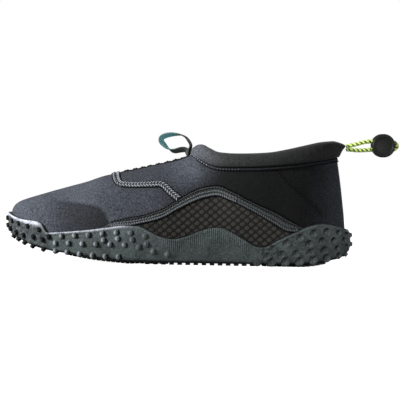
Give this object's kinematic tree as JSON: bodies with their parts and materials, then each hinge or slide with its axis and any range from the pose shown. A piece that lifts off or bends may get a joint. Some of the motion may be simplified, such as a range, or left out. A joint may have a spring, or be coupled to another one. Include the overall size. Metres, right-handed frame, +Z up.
{
  "type": "water shoe",
  "caption": "Slip-on water shoe for the left foot: stretch upper, wavy studded rubber sole, mesh sides, pull tab, and drawcord with a round stopper behind the heel.",
  "frame": {"origin": "on the floor, in the middle of the shoe's length and width, drawcord left out", "axes": "+X from the toe to the heel, +Y towards the inner side of the foot, +Z up"},
  "size_m": [0.3239, 0.099, 0.1106],
  "materials": {
    "rubber": "matte moulded rubber with studs",
    "foam": "fine knit over foam",
    "neoprene": "matte knit-faced foam",
    "binding": "matte knit-faced foam",
    "trim": "stitched textured band",
    "spacer_mesh": "open dotted mesh",
    "stretch_cloth": "gathered stretch cloth",
    "ribbon": "woven ribbon",
    "cord_sheath": "braided elastic sheath",
    "stopper_plastic": "matte moulded plastic"
  },
  "bodies": {
    "root": {"outsole": "rubber", "insole": "foam", "upper": "neoprene", "collar_binding": "binding", "side_trim_lateral": "trim", "side_trim_medial": "trim", "vamp_trim": "trim", "mesh_panel_lateral": "spacer_mesh", "mesh_panel_medial": "spacer_mesh", "instep_gusset": "stretch_cloth", "pull_tab": "ribbon", "drawcord": "cord_sheath", "toggle": "stopper_plastic"}
  },
  "joints": []
}
